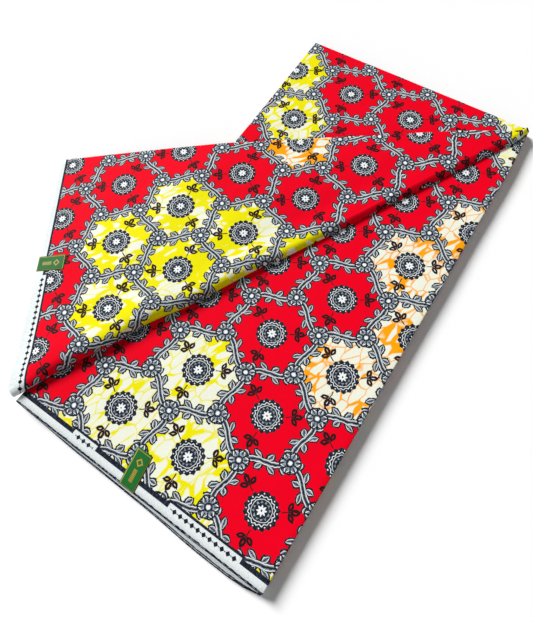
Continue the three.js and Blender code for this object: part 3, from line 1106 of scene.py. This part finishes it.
# %% [markdown]
# ## Three cloths, one print
#
# All the cloth is one print, but the three pieces show different places of it. So one function
# makes the material, and a table gives each piece its own values: where the design starts, how
# far the dye has run, and where the selvedge has bare places. On the hidden panels every third
# selvedge has taken up dye, which draws the dark lines between the pale ones at the near end.

# %% Cloth materials
PRINTS = {
    "front_print": {
        "Run together": 0.03,
        "First place": 0.089,
        "First half": 0.015,
        "Second place": 0.237,
        "Second half": 0.041,
        "Pattern x": 0.03,
        "Pattern y": 0.02,
        "Edge dye": 0.0009,
        "Batch": 6.3,
    },
    "turned_print": {
        "Run together": 0.13,
        "First place": 0.060,
        "First half": 0.082,
        "Pattern x": 0.21,
        "Pattern y": 0.13,
        "Edge dye": -1.0,
        "Batch": 20.3,
        "Line end": 0.0108,
    },
    "stack_print": {
        "Run together": 0.15,
        "Pattern x": 0.11,
        "Pattern y": 0.31,
        "Edge dye": 0.0006,
        "Batch": 6.3,
        "Dye period": 3.0,
        "Dye phase": 1.5,
    },
}
CLOTH_ROUGHNESS = 0.72
INK_GLAZE = 0.10
CLOTH_SPECULAR = 0.04
BUMP_STRENGTH = 0.5
BUMP_DISTANCE = 0.0004


def new_material(name, uv_name):
    """An empty material with its shader, and the UV map that its pattern follows."""
    material = bpy.data.materials.new(name)
    material.use_nodes = True
    tree = material.node_tree
    where = tree.nodes.new("ShaderNodeUVMap")
    where.uv_map = uv_name
    return material, tree, tree.nodes["Principled BSDF"], where.outputs["UV"]


def add_group(tree, group, where, values):
    node = tree.nodes.new("ShaderNodeGroup")
    node.node_tree = group
    tree.links.new(where, node.inputs["Cloth"])
    for socket_name, value in values.items():
        node.inputs[socket_name].default_value = value
    return node


def cloth_material(name, values):
    material, tree, shader, where = new_material(name, "cloth")
    printed = add_group(tree, print_tree, where, values)
    weave = add_group(tree, weave_tree, where, {})
    # The print is multiplied by the weave's Shade, which holds a real slub tone and a little
    # painted shade in the crease hollows.
    shaded = tree.nodes.new("ShaderNodeMix")
    shaded.data_type = "RGBA"
    shaded.blend_type = "MULTIPLY"
    shaded.inputs[0].default_value = 1.0
    tree.links.new(printed.outputs["Colour"], shaded.inputs[6])
    tree.links.new(weave.outputs["Shade"], shaded.inputs[7])
    tree.links.new(shaded.outputs[2], shader.inputs["Base Color"])
    rough = Term(tree, printed.outputs["Ink"]) * -INK_GLAZE + CLOTH_ROUGHNESS
    tree.links.new(rough.socket, shader.inputs["Roughness"])
    bump = tree.nodes.new("ShaderNodeBump")
    bump.inputs["Strength"].default_value = BUMP_STRENGTH
    bump.inputs["Distance"].default_value = BUMP_DISTANCE
    tree.links.new(weave.outputs["Height"], bump.inputs["Height"])
    tree.links.new(bump.outputs["Normal"], shader.inputs["Normal"])
    shader.inputs["Specular IOR Level"].default_value = CLOTH_SPECULAR
    return material


for sheet, print_name in (
    (front_cloth, "front_print"),
    (turned_cloth, "turned_print"),
    (stack_cloth, "stack_print"),
):
    sheet.data.materials.clear()
    sheet.data.materials.append(cloth_material(print_name, PRINTS[print_name]))
print("cloth materials:", len(PRINTS))

# %% [markdown]
# ## Coated paper
#
# The stickers are green coated paper with gold ink. Real ones carry a maker's words, so these
# have plain gold borders, a lozenge and short bars, which say nothing.

# %% Sticker material
GREEN = dye(20, 94, 36)
GREEN_FIBRE = dye(32, 116, 50)
GOLD = dye(190, 150, 62)
LOZENGE_AT = 0.30
BARS_FROM, BARS_TO = 0.47, 0.80
BAR_PITCH = 0.035
PAPER_ROUGHNESS = 0.60
GOLD_GLAZE = 0.12
PAPER_SPECULAR = 0.12

paper, paper_tree, paper_shader, on_paper = new_material("green_and_gold_paper", "paper")
u, v, _ = parts_of(paper_tree, Term(paper_tree, on_paper))
off_middle = abs(v - 0.5)
side_lines = between(off_middle, 0.425, 0.455, 0.01).both(between(u, 0.04, 0.96, 0.005))
end_lines = between(abs(u - 0.5), 0.445, 0.460, 0.005).both(off_middle.within(0.45, 0.01))
from_lozenge = abs(u - LOZENGE_AT) * 2.0 + off_middle
open_lozenge = from_lozenge.within(0.22, 0.02) - from_lozenge.within(0.13, 0.02)
bars = abs((u / BAR_PITCH).beat()).within(0.30, 0.05)
bars = bars.both(between(u, BARS_FROM, BARS_TO, 0.005)).both(off_middle.within(0.11, 0.02))
gold_mask = side_lines.either(end_lines).either(bars).either(open_lozenge)
fibre = cloth_noise(paper_tree, Term(paper_tree, on_paper), 9.0, 3.0)
green = paint(paper_tree, GREEN, fibre, GREEN_FIBRE)
gilded = paint(paper_tree, green, gold_mask, GOLD)
paper_tree.links.new(gilded.socket, paper_shader.inputs["Base Color"])
paper_rough = gold_mask * -GOLD_GLAZE + PAPER_ROUGHNESS
paper_tree.links.new(paper_rough.socket, paper_shader.inputs["Roughness"])
paper_shader.inputs["Specular IOR Level"].default_value = PAPER_SPECULAR
for label in (near_sticker, flap_sticker):
    label.data.materials.append(paper)
print("sticker material:", len(paper_tree.nodes), "nodes")

# %% [markdown]
# ## Joining the cloth to the frame
#
# Nothing here moves, so every piece rides on the one body. Each stands for its solid, which is
# hidden.

# %% Frame calls
ROOT = "root"
for dressed, solid_node, slot_name in (
    (front_cloth, "front_panel", "printed_cotton"),
    (turned_cloth, "turned_panel", "turned_cotton"),
    (stack_cloth, "folded_stack", "stack_cotton"),
    (near_sticker, "near_label", "label_paper"),
    (flap_sticker, "flap_label", "label_paper"),
):
    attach(dressed, ROOT)
    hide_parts(solid_node)

# %% [markdown]
# ## Floor, light and camera
#
# The cloth lies on a plain pale table top. One large soft light comes from the far left, a weak
# one from the near side, and an even light from all round. The camera stands over the near
# right side of the cloth and looks down.

# %% Floor
FLOOR_HALF = 3.0
FLOOR_DROP = 0.0002
floor_mesh = bmesh.new()
bmesh.ops.create_grid(floor_mesh, x_segments=1, y_segments=1, size=FLOOR_HALF)
bmesh.ops.translate(floor_mesh, verts=floor_mesh.verts, vec=(0, 0, -FLOOR_DROP))
floor_data = bpy.data.meshes.new("floor")
floor_mesh.to_mesh(floor_data)
floor_mesh.free()
table_top = bpy.data.objects.new("floor", floor_data)
bpy.context.scene.collection.objects.link(table_top)
floor_finish = bpy.data.materials.new("pale_table")
floor_finish.use_nodes = True
floor_shader = floor_finish.node_tree.nodes["Principled BSDF"]
floor_shader.inputs["Base Color"].default_value = dye(250, 250, 250)
floor_shader.inputs["Roughness"].default_value = 0.9
floor_shader.inputs["Specular IOR Level"].default_value = 0.1
floor_data.materials.append(floor_finish)
print("table top:", 2 * FLOOR_HALF, "m wide")

# %% Lights
KEY_LIGHT = {"direction": (-0.80, 0.16, 0.58), "strength": 4.55, "angle": 0.40}
FILL_LIGHT = {"direction": (0.15, -0.80, 0.45), "strength": 0.5, "angle": 0.8}
ROUND_LIGHT = 0.13
scene = bpy.context.scene
scene.view_settings.view_transform = "Standard"
world = bpy.data.worlds.new("studio")
world.use_nodes = True
background = world.node_tree.nodes["Background"]
background.inputs["Color"].default_value = (1, 1, 1, 1)
background.inputs["Strength"].default_value = ROUND_LIGHT
scene.world = world


def sun(name, direction, strength, angle):
    """A larger angle gives a softer edge to the shadows."""
    lamp = bpy.data.lights.new(name, "SUN")
    lamp.energy = strength
    lamp.angle = angle
    holder = bpy.data.objects.new(name, lamp)
    holder.rotation_mode = "QUATERNION"
    holder.rotation_quaternion = Vector(direction).to_track_quat("Z", "Y")
    scene.collection.objects.link(holder)


sun("key_light", **KEY_LIGHT)
sun("fill_light", **FILL_LIGHT)
print("lights:", len(bpy.data.lights))

# %% Camera
LENS = 24.90
SENSOR = 36.0
CAMERA_AT = (0.12198, -0.20766, 0.44799)
CAMERA_RIGHT = Vector((0.8334, 0.5506, -0.0488)).normalized()
leaning_down = Vector((0.4991, -0.7876, -0.3614))
CAMERA_DOWN = (leaning_down - CAMERA_RIGHT * leaning_down.dot(CAMERA_RIGHT)).normalized()
CAMERA_AHEAD = CAMERA_RIGHT.cross(CAMERA_DOWN)
camera_data = bpy.data.cameras.new("camera")
camera_data.lens = LENS
camera_data.sensor_width = SENSOR
camera_data.clip_start = 0.01
camera = bpy.data.objects.new("camera", camera_data)
camera_turn = Matrix((CAMERA_RIGHT, -CAMERA_DOWN, -CAMERA_AHEAD)).transposed()
camera.matrix_world = Matrix.Translation(CAMERA_AT) @ camera_turn.to_4x4()
scene.collection.objects.link(camera)
scene.camera = camera
print("camera looks along", [round(part, 3) for part in CAMERA_AHEAD])

# %% Bring the scene up to date
bpy.context.view_layer.update()
